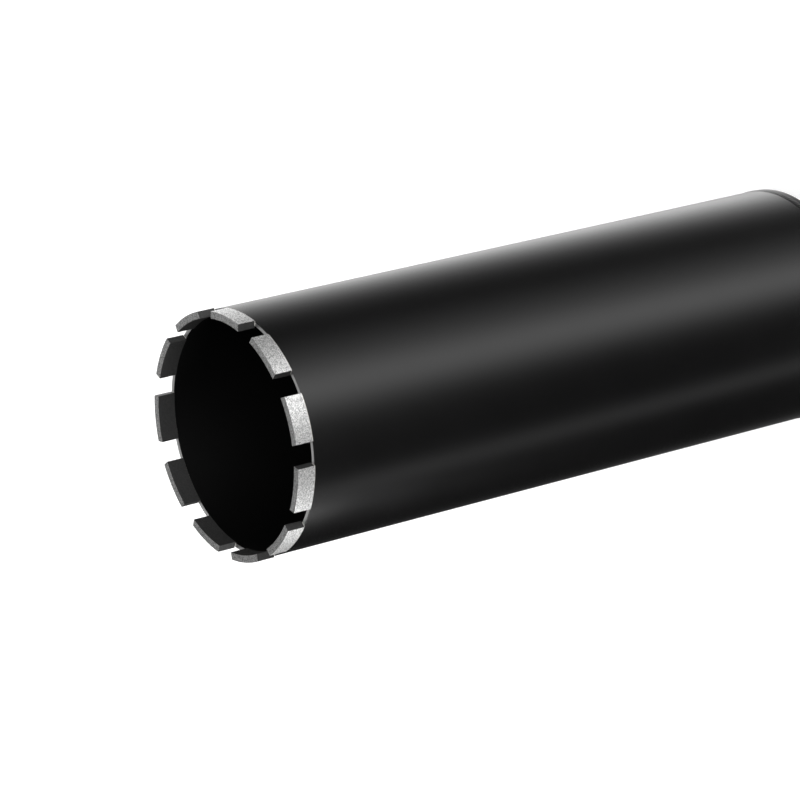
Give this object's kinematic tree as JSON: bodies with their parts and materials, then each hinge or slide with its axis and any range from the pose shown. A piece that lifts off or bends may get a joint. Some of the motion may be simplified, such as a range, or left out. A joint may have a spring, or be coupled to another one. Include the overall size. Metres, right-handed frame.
{
  "type": "diamond core bit",
  "caption": "Tubular wet core bit with diamond segments brazed on its rim, a closed back plate and a female-threaded hub, for cutting round holes in concrete and masonry.",
  "frame": {"origin": "centre of the hub's end face, which the bit stands on", "axes": "+Z along the drilling axis, from the hub up to the crown; +X through the middle of the first segment"},
  "size_m": [0.1267, 0.127, 0.3976],
  "materials": {
    "tube_paint": "semi-gloss black paint outside and in, bare ground steel on the rim between the segments",
    "plate_paint": "semi-gloss black paint over turned steel",
    "hub_steel": "turned steel, black paint on the outside, bare thread and end face",
    "weld_paint": "rippled weld bead under black paint",
    "segment_matrix": "dull grey sintered metal with fine diamond grit, ground on the faces",
    "braze": "bright silver-coloured braze"
  },
  "bodies": {
    "root": {"barrel": "tube_paint", "end_plate": "plate_paint", "threaded_hub": "hub_steel", "plate_weld": "weld_paint", "hub_weld": "weld_paint", "segment_01": "segment_matrix", "segment_02": "segment_matrix", "segment_03": "segment_matrix", "segment_04": "segment_matrix", "segment_05": "segment_matrix", "segment_06": "segment_matrix", "segment_07": "segment_matrix", "segment_08": "segment_matrix", "segment_09": "segment_matrix", "segment_10": "segment_matrix", "segment_11": "segment_matrix", "braze_01": "braze", "braze_02": "braze", "braze_03": "braze", "braze_04": "braze", "braze_05": "braze", "braze_06": "braze", "braze_07": "braze", "braze_08": "braze", "braze_09": "braze", "braze_10": "braze", "braze_11": "braze"}
  },
  "joints": []
}
